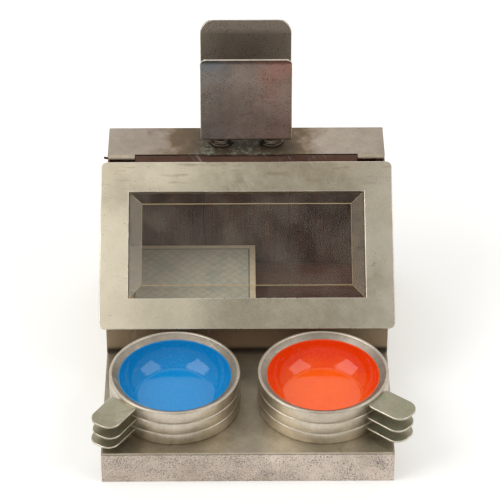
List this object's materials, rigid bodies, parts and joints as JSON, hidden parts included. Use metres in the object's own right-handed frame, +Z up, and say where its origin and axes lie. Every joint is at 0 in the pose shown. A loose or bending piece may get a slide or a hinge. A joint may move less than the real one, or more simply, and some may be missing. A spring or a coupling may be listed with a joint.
{
  "type": "smoker's companion",
  "caption": "Desk cigarette box with a sloping glazed lid, front shelf with stacked enamelled ashtrays and a matchbox clip on top.",
  "frame": {"origin": "centre of the base, on its underside", "axes": "+Z up, -Y towards the front shelf with the ashtrays, +X to the right seen from the front"},
  "size_m": [0.1259, 0.1417, 0.1252],
  "materials": {
    "case_nickel": "worn satin nickel plate",
    "apron_nickel": "pitted nickel plate",
    "lid_nickel": "satin nickel plate with fine scratches",
    "clip_nickel": "tarnished nickel plate",
    "turned_nickel": "turned and plated",
    "hinge_wire": "dull steel wire",
    "tray_nickel": "polished nickel plate, worn",
    "tongue_nickel": "dull nickel plate",
    "blue_enamel": "gloss vitreous enamel",
    "orange_enamel": "gloss vitreous enamel",
    "window_glass": "bevelled clear glass",
    "lining_wood": "dark stained cedar",
    "green_baize": "felted wool",
    "label_card": "printed card",
    "plain_card": "plain card"
  },
  "bodies": {
    "case": {"front_apron": "apron_nickel", "side_panel_left": "case_nickel", "side_panel_right": "case_nickel", "shelf_and_front_wall": "case_nickel", "back_and_top_strip": "case_nickel", "bottom_plate": "case_nickel", "baize_pad": "green_baize", "lining_floor": "lining_wood", "lining_front": "lining_wood", "lining_back": "lining_wood", "lining_left": "lining_wood", "lining_right": "lining_wood", "hinge_knuckle_left": "case_nickel", "hinge_knuckle_right": "case_nickel", "hinge_pin": "hinge_wire", "holder_clip": "clip_nickel", "matchbox_sleeve": "label_card", "holder_foot_left": "turned_nickel", "holder_screw_left": "turned_nickel", "holder_nut_left": "turned_nickel", "holder_foot_right": "turned_nickel", "holder_screw_right": "turned_nickel", "holder_nut_right": "turned_nickel"},
    "lid": {"lid_frame": "lid_nickel", "lid_glass": "window_glass", "glass_retainer": "lid_nickel", "lid_hinge_leaf": "case_nickel"},
    "left_tray_1": {"left_tray_1_ring": "tray_nickel", "left_tray_1_dish": "tray_nickel", "left_tray_1_enamel": "blue_enamel", "left_tray_1_tongue": "tongue_nickel"},
    "left_tray_2": {"left_tray_2_ring": "tray_nickel", "left_tray_2_dish": "tray_nickel", "left_tray_2_enamel": "blue_enamel", "left_tray_2_tongue": "tongue_nickel"},
    "left_tray_3": {"left_tray_3_ring": "tray_nickel", "left_tray_3_dish": "tray_nickel", "left_tray_3_enamel": "blue_enamel", "left_tray_3_tongue": "tongue_nickel"},
    "right_tray_1": {"right_tray_1_ring": "tray_nickel", "right_tray_1_dish": "tray_nickel", "right_tray_1_enamel": "orange_enamel", "right_tray_1_tongue": "tongue_nickel"},
    "right_tray_2": {"right_tray_2_ring": "tray_nickel", "right_tray_2_dish": "tray_nickel", "right_tray_2_enamel": "orange_enamel", "right_tray_2_tongue": "tongue_nickel"},
    "right_tray_3": {"right_tray_3_ring": "tray_nickel", "right_tray_3_dish": "tray_nickel", "right_tray_3_enamel": "orange_enamel", "right_tray_3_tongue": "tongue_nickel"},
    "matchbox_drawer": {"matchbox_drawer": "plain_card"}
  },
  "joints": [
    {"name": "lid_hinge", "type": "hinge", "parent": "case", "child": "lid", "pos_m": [0, 0.0486, 0.072], "axis": [-1, 0, 0], "range_deg": [0, 118]},
    {"name": "left_tray_1_lift", "type": "slide", "parent": "case", "child": "left_tray_1", "axis": [0, 0, 1], "range_m": [0, 0.03]},
    {"name": "left_tray_2_lift", "type": "slide", "parent": "left_tray_1", "child": "left_tray_2", "axis": [0, 0, 1], "range_m": [0, 0.03]},
    {"name": "left_tray_3_lift", "type": "slide", "parent": "left_tray_2", "child": "left_tray_3", "axis": [0, 0, 1], "range_m": [0, 0.03]},
    {"name": "right_tray_1_lift", "type": "slide", "parent": "case", "child": "right_tray_1", "axis": [0, 0, 1], "range_m": [0, 0.03]},
    {"name": "right_tray_2_lift", "type": "slide", "parent": "right_tray_1", "child": "right_tray_2", "axis": [0, 0, 1], "range_m": [0, 0.03]},
    {"name": "right_tray_3_lift", "type": "slide", "parent": "right_tray_2", "child": "right_tray_3", "axis": [0, 0, 1], "range_m": [0, 0.03]},
    {"name": "matchbox_drawer_slide", "type": "slide", "parent": "case", "child": "matchbox_drawer", "axis": [1, 0, 0], "range_m": [0, 0.035]}
  ]
}
